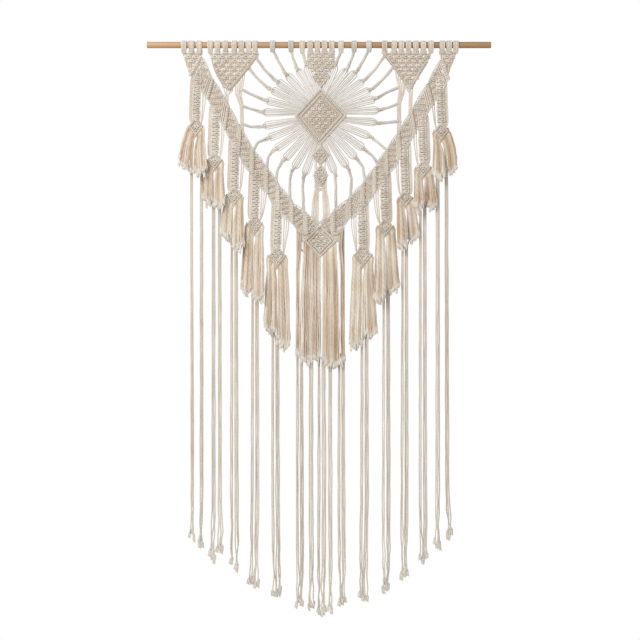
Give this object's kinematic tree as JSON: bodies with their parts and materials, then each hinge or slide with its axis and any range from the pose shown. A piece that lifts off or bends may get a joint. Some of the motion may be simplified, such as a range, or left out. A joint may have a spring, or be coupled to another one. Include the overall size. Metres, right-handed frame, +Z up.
{
  "type": "macrame curtain on a wooden rod",
  "caption": "Knotted cotton curtain hitched over a plain wooden rod: a sun of cord rays over a V band, with short tassels and a long straight cord fringe.",
  "frame": {"origin": "middle of the rod's axis", "axes": "+Z up, +X along the rod to the right seen from the front, the front faces -Y"},
  "size_m": [0.86, 0.035, 1.4388],
  "materials": {
    "cotton_cord": "matt twisted cotton cord, natural cream",
    "cut_cotton": "matt cotton cord, cut and frayed at its ends, cream with warm shadows",
    "rod_wood": "bare light wood with a satin surface and fine lengthwise grain"
  },
  "bodies": {
    "root": {"rod": "rod_wood", "sun_diamond": "cotton_cord", "point_diamond": "cotton_cord", "crown": "cotton_cord", "centre_drop": "cotton_cord", "centre_fringe": "cut_cotton", "corner_left": "cotton_cord", "triangle_left": "cotton_cord", "band_left": "cotton_cord", "side_cords_left": "cotton_cord", "spoke_left_1": "cotton_cord", "spoke_left_2": "cotton_cord", "spoke_left_3": "cotton_cord", "spoke_left_4": "cotton_cord", "spoke_left_5": "cotton_cord", "spoke_left_6": "cotton_cord", "spoke_left_7": "cotton_cord", "spoke_left_8": "cotton_cord", "spoke_left_9": "cotton_cord", "spoke_left_10": "cotton_cord", "spoke_left_11": "cotton_cord", "spoke_left_12": "cotton_cord", "drop_left_1": "cotton_cord", "tassel_left_1": "cut_cotton", "drop_left_2": "cotton_cord", "tassel_left_2": "cut_cotton", "drop_left_3": "cotton_cord", "tassel_left_3": "cut_cotton", "drop_left_4": "cotton_cord", "tassel_left_4": "cut_cotton", "drop_left_5": "cotton_cord", "tassel_left_5": "cut_cotton", "long_fringe_left": "cut_cotton", "corner_right": "cotton_cord", "triangle_right": "cotton_cord", "band_right": "cotton_cord", "side_cords_right": "cotton_cord", "spoke_right_1": "cotton_cord", "spoke_right_2": "cotton_cord", "spoke_right_3": "cotton_cord", "spoke_right_4": "cotton_cord", "spoke_right_5": "cotton_cord", "spoke_right_6": "cotton_cord", "spoke_right_7": "cotton_cord", "spoke_right_8": "cotton_cord", "spoke_right_9": "cotton_cord", "spoke_right_10": "cotton_cord", "spoke_right_11": "cotton_cord", "spoke_right_12": "cotton_cord", "drop_right_1": "cotton_cord", "tassel_right_1": "cut_cotton", "drop_right_2": "cotton_cord", "tassel_right_2": "cut_cotton", "drop_right_3": "cotton_cord", "tassel_right_3": "cut_cotton", "drop_right_4": "cotton_cord", "tassel_right_4": "cut_cotton", "drop_right_5": "cotton_cord", "tassel_right_5": "cut_cotton", "long_fringe_right": "cut_cotton"}
  },
  "joints": []
}
